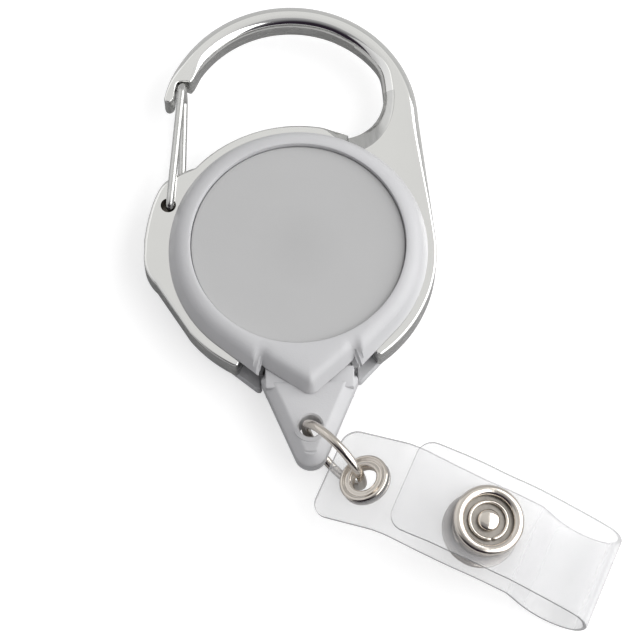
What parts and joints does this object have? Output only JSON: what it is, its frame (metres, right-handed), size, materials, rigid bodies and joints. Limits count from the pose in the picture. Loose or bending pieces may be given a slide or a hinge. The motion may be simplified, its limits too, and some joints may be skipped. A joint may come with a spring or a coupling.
{
  "type": "retractable badge reel",
  "caption": "Round sprung cord reel held in a chromed carabiner frame with a wire gate, with a tapered cord end, a jump ring and a clear snap strap.",
  "frame": {"origin": "reel axis at the flat back face of the case", "axes": "+Z out of the label, +Y from the reel axis towards the carabiner loop, +X completes the right-handed frame"},
  "size_m": [0.0548, 0.0843, 0.0115],
  "materials": {
    "chrome": "plated, polished",
    "case_plastic": "satin moulded",
    "label": "plain printed disc",
    "spool_plastic": "moulded",
    "steel": "bright",
    "cord": "braided nylon",
    "nickel": "nickel plated",
    "vinyl": "clear"
  },
  "bodies": {
    "case": {"carabiner_frame": "chrome", "front_cover": "case_plastic", "label_disc": "label", "rear_cover": "case_plastic", "spool_axle": "steel", "spring_washer": "steel", "mainspring": "steel", "cord_lead": "cord"},
    "gate": {"gate_wire": "chrome"},
    "reel": {"spool": "spool_plastic", "cord_winding": "cord"},
    "cord_end": {"tip_front_shell": "case_plastic", "tip_rear_shell": "case_plastic", "cord_knot": "cord"},
    "ring": {"jump_ring": "nickel"},
    "strap": {"strap_main": "vinyl", "eyelet": "nickel", "eyelet_washer": "nickel", "snap_stud": "nickel", "snap_stud_cap": "nickel"},
    "flap": {"strap_flap": "vinyl", "snap_socket": "nickel", "snap_spring_ring": "steel", "snap_socket_post": "nickel"}
  },
  "joints": [
    {"name": "gate_hinge", "type": "hinge", "parent": "case", "child": "gate", "pos_m": [-0.0147, 0.00855, 0.00445], "axis": [0, 0, -1], "range_deg": [0, 22], "stiffness_Nm_per_rad": 0.02, "springref_deg": -11.46},
    {"name": "tip_pull", "type": "slide", "parent": "case", "child": "cord_end", "axis": [0, -1, 0], "range_m": [0, 0.863], "stiffness_N_per_m": 0.8, "springref_m": -0.8, "deforming": ["cord_lead"]},
    {"name": "spool_spin", "type": "hinge", "parent": "case", "child": "reel", "pos_m": [0, 0, 0.00445], "axis": [0, 0, -1], "range_deg": [0, 4325], "deforming": ["mainspring"]},
    {"name": "ring_swing", "type": "hinge", "parent": "cord_end", "child": "ring", "pos_m": [-0.00041, -0.02309, 0.00445], "axis": [0, 0, 1], "range_deg": [-18, 26]},
    {"name": "strap_lift", "type": "hinge", "parent": "ring", "child": "strap", "pos_m": [0.00213, -0.02675, 0.0055], "axis": [-0.7771, -0.6293, 0], "range_deg": [-4, 70]},
    {"name": "flap_open", "type": "hinge", "parent": "strap", "child": "flap", "pos_m": [0.03251, -0.04491, 0.0031], "axis": [0.4695, 0.8829, 0], "range_deg": [0, 110]}
  ],
  "couplings": [
    {"joint": "spool_spin", "follows": "tip_pull", "rad_per_m": 87.336}
  ]
}
